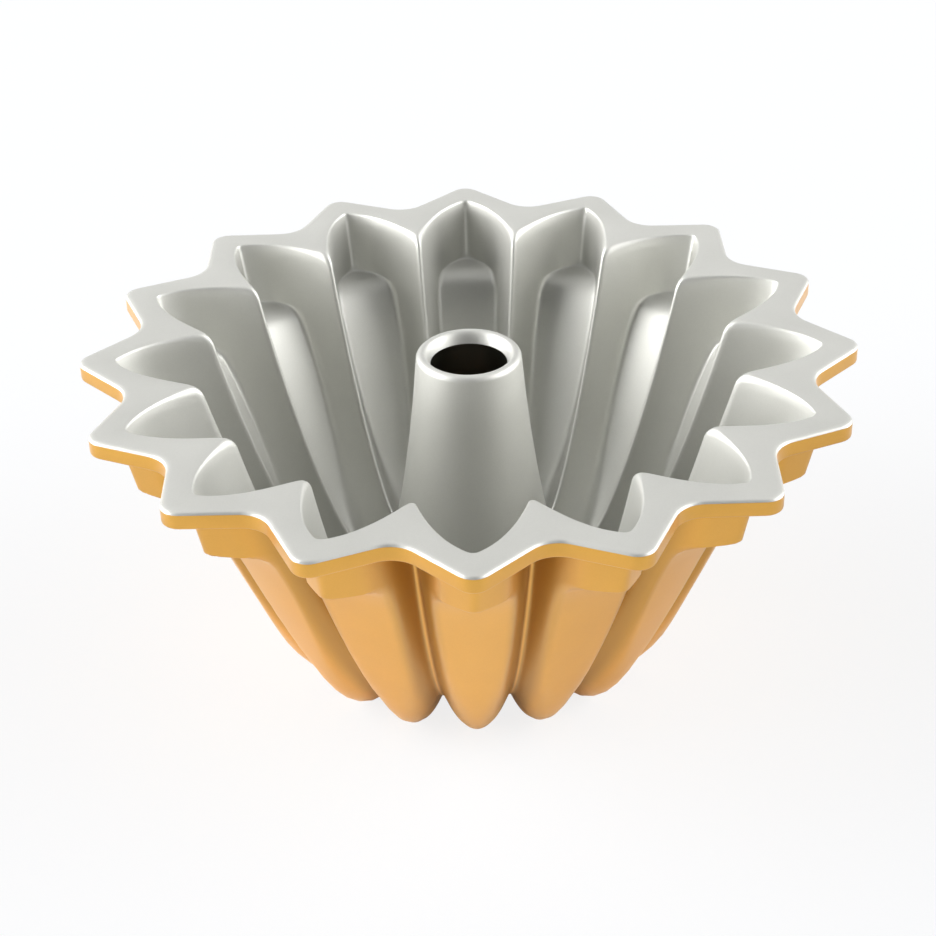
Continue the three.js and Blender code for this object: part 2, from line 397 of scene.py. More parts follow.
@dataclass(frozen=True)
class FluteSide:
    """One side of the fluted wall, between its ridge lines and the middle lines of its petals."""

    sizes: PanSizes
    counts: RowCounts
    side: WallSide
    tube_foot: np.ndarray
    tube_slope: float
    columns: np.ndarray

    # Between which parameters of the petal line its tuck, its full arch and its facets fade out
    tuck_fade: tuple[float, float] = (0.45, 0.8)
    fullness_fade: tuple[float, float] = (0.0, 0.72)
    arch_fade: tuple[float, float] = (0.4, 0.85)

    # Parameters for looking up a line, the step that gives a petal's direction, and rounds of substitution
    look_up: np.ndarray = field(default_factory=lambda: np.linspace(0.0, 1.0, 600))
    direction_step: float = 0.05
    settling_rounds: int = 6

    @property
    def outside(self) -> bool:
        """Whether this is the outer side of the wall."""
        return self.side is WallSide.OUTSIDE

    @property
    def crest_wall(self) -> float:
        """How far the crest lies outside the cavity's crest, measured level."""
        return self.sizes.crest_wall if self.outside else 0.0

    @property
    def ridge_handles(self) -> np.ndarray:
        """Bezier handles of the cavity's ridge line, from the rim to the trough."""
        size = self.sizes
        lean = math.radians(size.ridge_lean)
        top = np.array([size.ridge_radius, size.height])
        low = np.array([size.trough_radius, size.ridge_lift])
        fall = size.ridge_top_handle * np.array([math.sin(lean), math.cos(lean)])
        return np.stack([top, top - fall, low + np.array([size.ridge_low_handle, 0.0]), low])

    @property
    def petal_handles(self) -> np.ndarray:
        """Bezier handles of the cavity's petal line, from the ledge to the trough."""
        size = self.sizes
        lean = math.radians(size.petal_lean)
        shoulder_height = size.height - size.ledge_depth - size.ledge_fall
        top = np.array([size.crest_radius - size.ledge_reach, shoulder_height])
        low = np.array([size.trough_radius, size.wall - size.foot_cut])
        fall = size.petal_top_handle * np.array([math.sin(lean), math.cos(lean)])
        return np.stack([top, top - fall, low + np.array([size.petal_low_handle, 0.0]), low])

    def ridge(self, t: np.ndarray) -> np.ndarray:
        """Ridge line of this side: the cavity's line, moved out by the wall there on the outside.

        Args:
            t: Parameters from 0 at the rim to 1 at the trough.

        Returns:
            Radius and height at each parameter.
        """
        wall = self.sizes.ridge_wall if self.outside else 0.0
        return bezier(self.ridge_handles, t) + wall * bezier_normal(self.ridge_handles, t)

    def petal(self, t: np.ndarray) -> np.ndarray:
        """Petal line of this side: the cavity's line, moved out by the wall on the outside.

        The wall is thinner by the tuck from the ledge down, and grows to its full thickness near the foot.

        Args:
            t: Parameters from 0 at the ledge to 1 at the trough.

        Returns:
            Radius and height at each parameter.
        """
        line = bezier(self.petal_handles, t)
        if not self.outside:
            return line
        wall = self.sizes.wall - self.sizes.petal_tuck * (1.0 - smooth_step(*self.tuck_fade, t))
        return line + wall[:, None] * bezier_normal(self.petal_handles, t)

    def ridge_at(self, height: np.ndarray) -> tuple[np.ndarray, np.ndarray]:
        """Finds the ridge line at given heights, by interpolation along the falling line.

        Args:
            height: Heights to look up.

        Returns:
            The ridge's radius and its parameter at each height.
        """
        line = self.ridge(self.look_up)
        return np.interp(-height, -line[:, 1], line[:, 0]), np.interp(-height, -line[:, 1], self.look_up)

    def petal_at(self, height: float) -> float:
        """Parameter of the petal line at a height, by interpolation along the falling line."""
        return float(np.interp(-height, -self.petal(self.look_up)[:, 1], self.look_up))

    def crest_at(self, height: np.ndarray) -> np.ndarray:
        """Radius of the flute's crest at given heights, leaning in by the draft."""
        size = self.sizes
        return size.crest_radius + self.crest_wall - size.crest_draft * (size.height - height)

    def shape(self, height: np.ndarray, rounded: float | np.ndarray = 0.0) -> FluteShape:
        """Cross-sections at given heights.

        Outside, they are faceted all the way. In the cavity the pointed arch at the rim turns into facets down
        to the ledge, and the crest's round grows from the ledge's height downwards.

        Args:
            height: Height of each row.
            rounded: Share of a plain parabola, one for all rows or one each.

        Returns:
            The cross-sections.
        """
        size = self.sizes
        flat = np.ones_like(height)
        if self.outside:
            return FluteShape(flat, rounded * flat, size.outer_crest_round * flat, size.valley_round * flat)
        depth = size.height - height
        faceted = smooth_step(0.0, size.ledge_depth, depth)
        root_start = size.ledge_depth - size.ledge_root_round
        at_ledge = smooth_step(root_start, size.ledge_depth + size.ledge_fall, depth)
        soft = size.crest_round + (size.ledge_crest_round - size.crest_round) * at_ledge
        return FluteShape(faceted, rounded * flat, soft, size.nose_round * flat)

    def arch(self, depth: np.ndarray, half_width: np.ndarray, shape: FluteShape) -> np.ndarray:
        """Distance of a flute's wall from its ridge, across half a flute.

        With x from 0 at the crest to 1 at the ridge, the wall is depth times a share that mixes three curves:
        the pointed arch 1 - (pitch |x| + (1 - pitch) x^2), the lower of the two facets' lines, and the
        parabola 1 - x^2. The crest is rounded by a parabola. Beside the ridge an arc touches the walls on both
        sides. The walls start behind the arc's nose by the set-back that makes the two touch, which a few
        rounds of substitution settle.

        Args:
            depth: Depth from the ridge's nose to the crest, one row each.
            half_width: Width of half a flute at the ridge, one row each.
            shape: The cross-section of each row.

        Returns:
            The distance at each row and column.
        """
        x = self.columns[None, :]
        pitch = self.sizes.arch_pitch
        facets = self.sizes.outer_facets if self.outside else self.sizes.cavity_facets
        given = (depth, half_width, shape.faceted, shape.rounded, shape.soft, shape.nose)
        depth, half_width, faceted, rounded, soft, nose = (values[:, None] for values in given)
        faceted = faceted * (1.0 - rounded)
        pointed = 1.0 - faceted - rounded
        edge = np.where(x < soft, (x * x + soft * soft) / (2.0 * soft), x)
        facet_share = soft_min(1.0 - facets.slope * edge, facets.wall_slope * (1.0 - x), facets.softness)
        arch_share = 1.0 - (pitch * edge + (1.0 - pitch) * x * x)
        share = pointed * arch_share + faceted * facet_share + rounded * (1.0 - x * x)
        bow = pointed * (1.0 - pitch) + rounded
        end_slope = pointed * (2.0 - pitch) + faceted * facets.wall_slope + rounded * 2.0
        set_back = np.zeros_like(depth)
        touch = np.zeros_like(depth)
        for _ in range(self.settling_rounds):
            whole = depth + set_back
            slope = whole * (end_slope - 2.0 * bow * touch / half_width) / half_width
            touch = nose * slope / np.hypot(1.0, slope)
            set_back = nose * (np.hypot(1.0, slope) - 1.0) + whole * bow * (touch / half_width) ** 2
        across = (1.0 - x) * half_width
        arc = nose - np.sqrt(np.maximum(nose**2 - across**2, 0.0))
        return np.where(across < touch, arc, (depth + set_back) * share - set_back)

    def stretch(self, ridge: np.ndarray, middle: np.ndarray, fullness: np.ndarray, shape: FluteShape) -> Run:
        """Stretches rows between a ridge line and the line along the middle of the flutes.

        Each row leaves the ridge along the flute's arch, which is fullness times as deep as the middle line,
        and is cut off level at the middle line with a soft corner.

        Args:
            ridge: Ridge point of each row.
            middle: Point of each row in the middle of the flute.
            fullness: Depth of the arch over the distance between the two, one row each.
            shape: The cross-section of each row.

        Returns:
            The rows over half a flute.
        """
        size = self.sizes
        span = middle - ridge
        distance = np.maximum(np.linalg.norm(span, axis=-1), TINY)
        way = span / distance[:, None]
        reach = self.arch(fullness * distance, size.half_angle * ridge[:, 0], shape)
        corner_round = size.petal_side_round if self.outside else size.petal_fillet
        corner = np.clip(reach[:, :1] - distance[:, None], TINY, corner_round)
        cut = soft_min(distance[:, None] * np.ones_like(reach), reach, corner)
        return Run(ridge[:, :1] + way[:, :1] * cut, ridge[:, 1:] + way[:, 1:] * cut)

    def level_rows(self, profile: np.ndarray) -> Run:
        """Level rows of the band and the ledge: the crest's arch, cut off at a profile.

        Args:
            profile: Radius and height in the middle of the flute, one row each.

        Returns:
            The rows over half a flute.
        """
        height = profile[:, 1]
        ridge = np.stack([self.ridge_at(height)[0], height], axis=-1)
        fullness = (self.crest_at(height) - ridge[:, 0]) / (profile[:, 0] - ridge[:, 0])
        return self.stretch(ridge, profile, np.maximum(fullness, 1.0), self.shape(height))

    def band_rows(self, heights: np.ndarray, eased: np.ndarray, crest_lip: float, ridge_lip: float) -> Run:
        """Rows of the rim band, eased outwards where it meets the rim, more so and further down at the ridge.

        The easing is the crest's all along the flute. What the ridge has beyond that fades with a power of the
        way from the ridge to the crest.

        Args:
            heights: Heights at the crest and at the ridge, one row each.
            eased: Share of the lips at each row, from 0 on the wall to 1 at the rim.
            crest_lip: How far the crest is eased outwards at the rim.
            ridge_lip: How far the ridge is eased outwards at the rim.

        Returns:
            The rows over half a flute.
        """
        size = self.sizes
        at_crest, at_ridge = heights.T
        ridge = np.stack([self.ridge_at(at_ridge)[0] + crest_lip * eased, at_crest], axis=-1)
        crest = np.stack([self.crest_at(at_crest) + crest_lip * eased, at_crest], axis=-1)
        shape = self.shape(at_crest)
        if not self.outside:
            nose = size.nose_round + (size.rim_nose_round - size.nose_round) * eased
            soft = size.crest_round + (size.rim_crest_round - size.crest_round) * eased
            shape = replace(shape, nose=nose, soft=soft)
        rows = self.stretch(ridge, crest, np.ones_like(eased), shape)
        near_ridge = ((crest[:, :1] - rows.radius) / (crest - ridge)[:, :1]) ** size.ridge_lip_fade
        outwards = ((ridge_lip - crest_lip) * eased)[:, None] * near_ridge
        return Run(rows.radius + outwards, rows.height - (at_crest - at_ridge)[:, None] * near_ridge)

    def petal_rows(self, t: np.ndarray) -> Run:
        """Rows of the petals: full across the middle, falling to the ridges, and rounder near the trough.

        At the ledge the sides carry on from the band's, whose arch is as deep as the line from the ridge
        through the petal to the drafted crest. From there the arch fades to the petal's own depth.

        Args:
            t: Parameters from 0 at the ledge to 1 at the trough.

        Returns:
            The rows over half a flute.
        """
        start = self.ridge_at(self.petal(np.zeros(1))[:, 1])[1]
        ridge = self.ridge(start + (1.0 - start) * t)
        petal = self.petal(t)
        reach, rise = (petal - ridge).T
        to_crest = (self.crest_at(ridge[:, 1]) - ridge[:, 0]) / (reach - self.sizes.crest_draft * rise)
        fullness = to_crest + (1.0 - to_crest) * smooth_step(*self.fullness_fade, t)
        return self.stretch(ridge, petal, fullness, self.shape(petal[:, 1], smooth_step(*self.arch_fade, t)))

    def trough_line(self, lowest: np.ndarray, s: np.ndarray) -> np.ndarray:
        """Curve from the trough's lowest line, which it leaves level, into the tube's slope at its foot.

        Args:
            lowest: Radius and height of the lowest point.
            s: Parameters from 0 at the lowest point to 1 at the tube's foot.

        Returns:
            Radius and height at each parameter.
        """
        foot = self.tube_foot
        reach = (lowest[0] - foot[0]) / 2.0
        rise = min(self.sizes.tube_handle, (foot[1] - lowest[1]) / 2.0)
        before = lowest - np.array([reach, 0.0])
        after = foot + np.array([self.tube_slope * rise, -rise])
        return bezier(np.stack([lowest, before, after, foot]), s)

    def trough_rows(self, s: np.ndarray) -> Run:
        """Rows from the trough's lowest line to the foot of the tube, where the flutes fade out.

        Args:
            s: Parameters from 0 at the lowest line to 1 at the tube's foot.

        Returns:
            The rows over half a flute.
        """
        end = np.ones(1)
        petal = self.trough_line(self.petal(end)[0], s)
        ridge = self.trough_line(self.ridge(end)[0], s)
        return self.stretch(ridge, petal, np.ones_like(s), self.shape(petal[:, 1], 1.0))

    def falling_rows(self, corner: np.ndarray) -> Run:
        """Rows from the bend below the ledge down to the foot of the tube.

        Args:
            corner: Points of the bend, which ends on the petal line.

        Returns:
            The rows over half a flute.
        """
        t = np.linspace(self.petal_at(corner[-1, 1]), 1.0, self.counts.petal + 1)
        s = np.linspace(0.0, 1.0, self.counts.trough + 1)[1:]
        return join_runs([self.petal_rows(t), self.trough_rows(s)])


@dataclass(frozen=True)
class FlutedPan:
    """The pan: one casting with a release lining inside and an enamel film outside."""

    sizes: PanSizes
    counts: RowCounts = field(default_factory=RowCounts)

    @property
    def columns(self) -> np.ndarray:
        """Shares of the way from a crest to the ridge, closer together at both ends."""
        even = np.linspace(0.0, 1.0, self.counts.half_flute + 1)
        eased = (1.0 - np.cos(math.pi * even)) / 2.0
        return even + self.counts.column_easing * (eased - even)

    def rim_outline(self, inset: float) -> np.ndarray:
        """Radius of the rim's outline: an arc round the point, a straight flank, and an arc in the notch.

        Args:
            inset: How far the outline is moved inwards.

        Returns:
            The radius at each column.
        """
        size = self.sizes
        angle = self.columns * size.half_angle
        tip_round = size.tip_round - inset
        notch_round = size.notch_round + inset
        tip_reach = size.tip_radius - inset - tip_round
        notch_reach = size.tip_radius - size.notch_depth - inset + notch_round
        tip = np.array([0.0, tip_reach])
        notch = notch_reach * np.array([math.sin(size.half_angle), math.cos(size.half_angle)])
        span = notch - tip
        flank = math.atan2(span[1], span[0]) - math.asin((tip_round + notch_round) / math.hypot(*span))
        normal = np.array([-math.sin(flank), math.cos(flank)])
        tip_end = tip + normal * tip_round
        notch_end = notch - normal * notch_round
        tip_across = np.minimum(tip_reach * np.sin(angle), tip_round)
        notch_across = np.minimum(notch_reach * np.sin(size.half_angle - angle), notch_round)
        at_tip = tip_reach * np.cos(angle) + np.sqrt(tip_round**2 - tip_across**2)
        at_notch = notch_reach * np.cos(size.half_angle - angle) - np.sqrt(notch_round**2 - notch_across**2)
        at_flank = (tip_end @ normal) / (normal[0] * np.sin(angle) + normal[1] * np.cos(angle))
        past_tip = np.where(angle > math.atan2(*notch_end), at_notch, at_flank)
        return np.where(angle < math.atan2(*tip_end), at_tip, past_tip)

    def rim_rows(self, insets: np.ndarray, heights: np.ndarray) -> Run:
        """Rows that follow the rim's outline.

        Args:
            insets: How far each row is moved inwards.
            heights: Height of each row.

        Returns:
            The rows over half a flute.
        """
        outlines = np.stack([self.rim_outline(float(inset)) for inset in insets])
        return Run(outlines, heights[:, None] * np.ones_like(outlines))

    def between(self, first: Run, second: Run, count: int) -> Run:
        """Rows evenly between the last row of one run and the first row of the next, without those two.

        Args:
            first: Run before the gap.
            second: Run after the gap.
            count: Number of rows.

        Returns:
            The rows over half a flute.
        """
        share = np.linspace(0.0, 1.0, count + 2)[1:-1, None]
        return Run(
            first.radius[-1:] * (1.0 - share) + second.radius[:1] * share,
            first.height[-1:] * (1.0 - share) + second.height[:1] * share,
        )

    def tube_profile(self) -> np.ndarray:
        """Points of the tube's cavity side at its foot, its waist and the start of its lip."""
        size = self.sizes
        waist = (size.height + size.tube_foot_height) / 2.0
        return np.array([
            size.tube_foot,
            [size.tube_top_radius + size.tube_waist_flare, waist],
            [size.tube_top_radius, size.height],
        ])

    def bore_profile(self) -> np.ndarray:
        """Points of the bore at its foot, its waist and below the bevel at its edge."""
        size = self.sizes
        tube = self.tube_profile()
        return np.array([
            tube[0] - size.tube_wall,
            tube[1] - np.array([size.tube_wall, 0.0]),
            size.bore_edge + np.array([size.bore_bevel, -size.bore_bevel]),
        ])

    def flute_side(self, side: WallSide) -> FluteSide:
        """Makes one side of the fluted wall, which runs into the tube along the tube's own slope.

        Args:
            side: Which side to make.

        Returns:
            The side.
        """
        points = self.bore_profile() if side is WallSide.OUTSIDE else self.tube_profile()
        slope = np.polyval(np.polyder(np.polyfit(points[:, 1], points[:, 0], 2)), points[0, 1])
        return FluteSide(self.sizes, self.counts, side, points[0], -float(slope), self.columns)

    def lining_face(self) -> Run:
        """Rows of the silver side, from the rim's outer edge over the cavity and the tube to the bore's edge.

        Returns:
            The rows over half a flute.
        """
        size, count = self.sizes, self.counts
        side = self.flute_side(WallSide.CAVITY)
        turn = np.linspace(0.0, math.pi / 2.0, count.edge + 1)
        edge = self.rim_rows(
            size.rim_edge * (1.0 - np.cos(turn)), size.height - size.rim_drop * (1.0 - np.sin(turn))
        )
        ease = np.linspace(math.pi / 2.0, 0.0, count.lip + 1)
        lip_drops = np.array([size.crest_lip, size.ridge_lip_drop])
        lip_heights = size.height - (1.0 - np.sin(ease))[:, None] * lip_drops
        lip = side.band_rows(lip_heights, 1.0 - np.cos(ease), size.crest_lip, size.ridge_lip)
        shoulder, below = side.petal(np.array([0.0, side.direction_step]))
        root_height = size.height - size.ledge_depth
        root = np.array([float(side.crest_at(root_height)), root_height])
        rim_mouth = np.array([float(side.crest_at(size.height)), size.height])
        root_arc = rounded_corner(rim_mouth, root, shoulder, size.ledge_root_round, count.corner)
        bend = rounded_corner(root, shoulder, below, size.shoulder_round, count.corner)
        band_heights = np.linspace(lip_heights[-1], root_arc[0, [1, 1]], count.band + 1)[1:-1]
        flat = np.linspace(root_arc[-1], bend[0], count.ledge + 2)[1:-1]
        return join_runs([
            edge,
            self.between(edge, lip, count.rim),
            lip,
            side.band_rows(band_heights, np.zeros(count.band - 1), 0.0, 0.0),
            side.level_rows(np.concatenate([root_arc, flat, bend[:-1]])),
            side.falling_rows(bend),
            self.tube_rows(),
        ])

    def tube_rows(self) -> Run:
        """Rows of the tube's silver side above its foot: the flaring wall, the lip and the bore's mouth.

        The lip's profile is a quarter circle outside, and a Bezier curve from its top to the bore's edge.

        Returns:
            The rows over half a flute.
        """
        size, count = self.sizes, self.counts
        heights = np.linspace(size.tube_foot_height, size.height - size.tube_lip_round, count.tube + 1)[1:]
        wall = parabola_through(self.tube_profile(), heights)
        turn = np.linspace(0.0, math.pi / 2.0, count.tube_lip + 1)
        swing = size.tube_lip_round * np.stack([np.cos(turn) - 1.0, np.sin(turn)], axis=-1)
        lip = wall[-1] + swing
        inwards = lip[-1] - np.array([size.tube_lip_round / 2.0, 0.0])
        upwards = size.bore_edge + np.array([size.bore_mouth_flare, size.bore_mouth_rise])
        handles = np.stack([lip[-1], inwards, upwards, size.bore_edge])
        mouth = bezier(handles, np.linspace(0.0, 1.0, count.tube_lip))
        return round_run(np.concatenate([wall[:-1], lip, mouth[1:]]), self.columns)

    def enamel_face(self) -> Run:
        """Rows of the gold side, from the bore's edge down, under the pan and up to the rim's outer edge.

        Returns:
            The rows over half a flute.
        """
        size, count = self.sizes, self.counts
        side = self.flute_side(WallSide.OUTSIDE)
        bore_points = self.bore_profile()
        bore_heights = np.linspace(bore_points[2, 1], bore_points[0, 1], count.tube)[:-1]
        bore_start = size.bore_edge + size.seam * np.array([1.0, -1.0])
        bore = np.concatenate([bore_start[None, :], parabola_through(bore_points, bore_heights)])
        corner_height = size.height - size.ledge_depth - size.ledge_wall
        corner = np.array([float(side.crest_at(corner_height)), corner_height])
        flange_low = size.height - size.flange_thickness
        root = np.array([float(side.crest_at(flange_low)), flange_low])
        shoulder_at = side.petal_at(corner_height - size.outer_ledge_fall)
        shoulder, below = side.petal(shoulder_at + np.array([0.0, side.direction_step]))
        corner_arc = rounded_corner(root, corner, shoulder, size.ledge_corner_round, count.corner)
        bend = rounded_corner(corner, shoulder, below, size.outer_shoulder_round, count.corner)
        band_top = flange_low - size.flange_root_round
        band_heights = np.linspace(band_top, corner_arc[0, 1], count.band + 1)[1:-1]
        band = np.stack([side.crest_at(band_heights), band_heights], axis=-1)
        flat = np.linspace(corner_arc[-1], bend[0], count.ledge + 2)[1:-1]
        wall = side.level_rows(np.concatenate([band, corner_arc, flat, bend[:-1]]))
        ease = np.linspace(0.0, math.pi / 2.0, count.edge)
        fillet_heights = flange_low - size.flange_root_round * (1.0 - np.sin(ease))[:, None] * np.ones(2)
        fillet = side.band_rows(
            fillet_heights, 1.0 - np.cos(ease), size.flange_root_round, size.flange_root_round
        )
        turn = np.linspace(0.0, math.pi / 2.0, count.edge)
        low_edge = self.rim_rows(
            size.flange_low_round * (1.0 - np.sin(turn)),
            flange_low + size.flange_low_round * (1.0 - np.cos(turn)),
        )
        seam = self.rim_rows(np.zeros(1), np.array([size.height - size.rim_drop - size.seam]))
        rows = join_runs([
            round_run(bore, self.columns),
            side.falling_rows(bend).reversed(),
            wall.reversed(),
            fillet,
            self.between(fillet, low_edge, count.rim),
            low_edge,
            seam,
        ])
        return Run(rows.radius, np.maximum(rows.height, 0.0))

    def mirrored(self, half: np.ndarray) -> np.ndarray:
        """Values over half a flute by row and column, mirrored at the ridge and repeated for each flute."""
        return np.tile(np.concatenate([half, half[:, -2:0:-1]], axis=1), (1, self.sizes.flutes))

    def rings(self, rows: Run) -> np.ndarray:
        """Carries rows over half a flute round the pan.

        A point at an angle from -Y lies at radius times the sine in x, and minus the cosine in y.

        Args:
            rows: Rows over half a flute.

        Returns:
            Points by row, column and axis, in millimetres.
        """
        size = self.sizes
        share = np.concatenate([self.columns, 2.0 - self.columns[-2:0:-1]])
        angle = (2.0 * np.arange(size.flutes)[:, None] + share).ravel() * size.half_angle
        radius, height = self.mirrored(rows.radius), self.mirrored(rows.height)
        return np.stack([radius * np.sin(angle), -radius * np.cos(angle), height], axis=-1)

    @staticmethod
    def sunk(rings: np.ndarray, depth: float) -> np.ndarray:
        """Moves rings into the metal along the grid's normals, which are around crossed with along.

        Args:
            rings: Points by row, column and axis.
            depth: How far to move.

        Returns:
            The moved points.
        """
        around = np.roll(rings, -1, axis=1) - np.roll(rings, 1, axis=1)
        along = np.gradient(rings, axis=0)
        normal = np.cross(around, along)
        return rings - depth * normal / np.linalg.norm(normal, axis=-1, keepdims=True)

    def film_rings(self, face: np.ndarray) -> np.ndarray:
        """Closed loop of rings for a film: its face, then its back, one film's thickness into the metal."""
        return np.concatenate([face, self.sunk(face, self.sizes.film)[::-1]])

    def build(self, finishes: "PanFinishes") -> list[bpy.types.Object]:
        """Builds the lining, the enamel and the casting, and dresses each in its finish.

        Args:
            finishes: The three finishes.

        Returns:
            The pieces.
        """
        lining = self.rings(self.lining_face())
        enamel = self.rings(self.enamel_face())
        under_films = self.sizes.film + self.sizes.bond
        metal = np.concatenate([self.sunk(lining, under_films), self.sunk(enamel, under_films)])
        made = [
            ("release_lining", "nonstick_lining", self.film_rings(lining), finishes.lining),
            ("gold_enamel", "outer_enamel", self.film_rings(enamel), finishes.enamel),
            ("casting", "cast_body", metal, finishes.casting),
        ]
        return [self.piece(name, node, rings, finish) for name, node, rings, finish in made]

    def piece(self, name: str, node: str, rings: np.ndarray, finish: "Finish") -> bpy.types.Object:
        """Makes one piece from a closed loop of rings, in place of a node of the frame.

        Args:
            name: The piece's name.
            node: The node that it stands for.
            rings: Points by row, column and axis, closed both ways, in millimetres.
            finish: The finish that it wears.

        Returns:
            The piece.
        """
        across = self.mirrored(self.columns[None, :])[0]
        piece = bpy.data.objects.new(name, loop_mesh(name, rings * MM, across))
        bpy.context.scene.collection.objects.link(piece)
        piece.data.materials.append(finish.material())
        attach(piece, BODY)
        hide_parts(node)
        return piece


def loop_mesh(
    name: str, rings: np.ndarray, across: np.ndarray, sharp_angle: float = math.radians(60.0)
) -> bpy.types.Mesh:
    """Makes a smooth closed mesh of quads over rings of points, joined last to first both ways.

    Args:
        name: The mesh's name.
        rings: Points by row, column and axis, in metres.
        across: Way from a crest to a ridge at each column, kept as an attribute of the points.
        sharp_angle: Bend above which an edge is shaded sharp.

    Returns:
        The mesh.
    """
    rows, columns = rings.shape[:2]
    index = np.arange(rows * columns).reshape(rows, columns)
    beside = np.roll(index, -1, axis=1)
    quads = np.stack([index, beside, np.roll(beside, -1, axis=0), np.roll(index, -1, axis=0)], axis=-1)
    mesh = bpy.data.meshes.new(name)
    mesh.vertices.add(rows * columns)
    mesh.vertices.foreach_set("co", rings.astype(np.float32).ravel())
    mesh.loops.add(quads.size)
    mesh.loops.foreach_set("vertex_index", quads.astype(np.int32).ravel())
    mesh.polygons.add(rows * columns)
    mesh.polygons.foreach_set("loop_start", np.arange(0, quads.size, 4, dtype=np.int32))
    attribute = mesh.attributes.new(Reading.ACROSS.value, "FLOAT", "POINT")
    attribute.data.foreach_set("value", np.tile(across, rows).astype(np.float32))
    mesh.update(calc_edges=True)
    mesh.shade_smooth()
    mesh.set_sharp_from_angle(angle=sharp_angle)
    return mesh


class Value:
    """A number socket of a node tree, on which arithmetic adds Math nodes."""

    def __init__(self, bench: "NodeBench", socket: bpy.types.NodeSocket) -> None:
        """Wraps a socket of the bench's tree."""
        self.bench = bench
        self.socket = socket

    def __add__(self, other: "Value | float") -> "Value":
        """This plus other."""
        return self.bench.math("ADD", self, other)

    def __radd__(self, other: float) -> "Value":
        """A number plus this."""
        return self.bench.math("ADD", other, self)

    def __sub__(self, other: "Value | float") -> "Value":
        """This minus other."""
        return self.bench.math("SUBTRACT", self, other)

    def __rsub__(self, other: float) -> "Value":
        """A number minus this."""
        return self.bench.math("SUBTRACT", other, self)

    def __mul__(self, other: "Value | float") -> "Value":
        """This times other."""
        return self.bench.math("MULTIPLY", self, other)

    def __rmul__(self, other: float) -> "Value":
        """A number times this."""
        return self.bench.math("MULTIPLY", other, self)

    def clipped(self) -> "Value":
        """This value held between 0 and 1."""
        return self.bench.math("ADD", self, 0.0, clip=True)

    def stepped(self, start: float, full: float) -> "Value":
        """Smooth rise from 0 where this is at start to 1 where it is at full, which may be the smaller one.

        Args:
            start: Where the rise starts.
            full: Where the rise ends.

        Returns:
            The share.
        """
        settings = {"interpolation_type": "SMOOTHSTEP"}
        sockets = {"Value": self, "From Min": start, "From Max": full}
        return self.bench.value("ShaderNodeMapRange", "Result", settings, sockets)


class NodeBench:
    """Adds nodes to one node tree."""

    def __init__(self, tree: bpy.types.NodeTree) -> None:
        """Starts on an emptied tree."""
        self.tree = tree
        tree.nodes.clear()

    def add(
        self, kind: str, settings: dict[str, Any] | None = None, sockets: dict[str | int, Any] | None = None
    ) -> bpy.types.Node:
        """Adds a node, sets its settings, then gives its sockets their values or links.

        Args:
            kind: The node's type.
            settings: Its settings by name.
            sockets: Values, Value objects or output sockets, by the input's name or number.

        Returns:
            The node.
        """
        node = self.tree.nodes.new(kind)
        for name, setting in (settings or {}).items():
            setattr(node, name, setting)
        for name, given in (sockets or {}).items():
            source = given.socket if isinstance(given, Value) else given
            if isinstance(source, bpy.types.NodeSocket):
                self.tree.links.new(source, node.inputs[name])
            else:
                node.inputs[name].default_value = source
        return node

    def value(
        self,
        kind: str,
        output: str,
        settings: dict[str, Any] | None = None,
        sockets: dict[str | int, Any] | None = None,
    ) -> Value:
        """Adds a node as add does, and wraps one of its outputs as a number."""
        return Value(self, self.add(kind, settings, sockets).outputs[output])

    def math(self, operation: str, first: Value | float, second: Value | float, clip: bool = False) -> Value:
        """Adds one Math node on two values."""
        settings = {"operation": operation, "use_clamp": clip}
        return self.value("ShaderNodeMath", "Value", settings, {0: first, 1: second})

    def mix_colours(self, share: Value, first: Any, second: Any) -> bpy.types.NodeSocket:
        """Mixes two colours, from the first at share 0 to the second at share 1."""
        sockets = {MIX_SHARE: share, MIX_FIRST: first, MIX_SECOND: second}
        return self.add("ShaderNodeMix", {"data_type": "RGBA"}, sockets).outputs[MIX_RESULT]


def opaque(colour: Colour) -> tuple[float, float, float, float]:
    """A colour with full alpha, for a colour socket."""
    return (*colour, 1.0)


class Spot:
    """A point as a material sees it: its place on the piece, and its readings."""

    def __init__(self, bench: NodeBench) -> None:
        """Adds the nodes that read the point."""
        self.place = bench.add("ShaderNodeTexCoord").outputs["Object"]
        height = bench.value("ShaderNodeSeparateXYZ", "Z", None, {0: self.place})
        flat = {0: self.place, 1: (1.0, 1.0, 0.0)}
        level = bench.add("ShaderNodeVectorMath", {"operation": "MULTIPLY"}, flat)
        length = {0: level.outputs["Vector"]}
        radius = bench.value("ShaderNodeVectorMath", "Value", {"operation": "LENGTH"}, length)
        across = bench.value("ShaderNodeAttribute", "Fac", {"attribute_name": Reading.ACROSS.value})
        self.readings = {
            Reading.HEIGHT: height * (1.0 / MM),
            Reading.RADIUS: radius * (1.0 / MM),
            Reading.ACROSS: across,
        }


@dataclass(frozen=True)
class Step:
    """Smooth rise over one reading of a point, from 0 at start to 1 at full."""

    reading: Reading
    start: float
    full: float


@dataclass(frozen=True)
class Mark:
    """A patch of another colour where all its steps are full, with or without the clear coat."""

    colour: Colour
    steps: tuple[Step, ...]
    coated: bool = True

    def share(self, spot: Spot) -> Value:
        """Share of the mark at a point, the product of its steps."""
        rises = (spot.readings[step.reading].stepped(step.start, step.full) for step in self.steps)
        return math.prod(rises)


# Painted highlight: a lighter line where the lining folds along a flute's crest, above the ledge and clear of
# the tube
PAINTED_CREST_HIGHLIGHT = Mark(
    colour=(0.86, 0.86, 0.82),
    steps=(
        Step(Reading.ACROSS, start=0.04, full=0.0),
        Step(Reading.HEIGHT, start=94.0, full=97.0),
        Step(Reading.HEIGHT, start=115.0, full=112.0),
        Step(Reading.RADIUS, start=40.0, full=50.0),
    ),
)
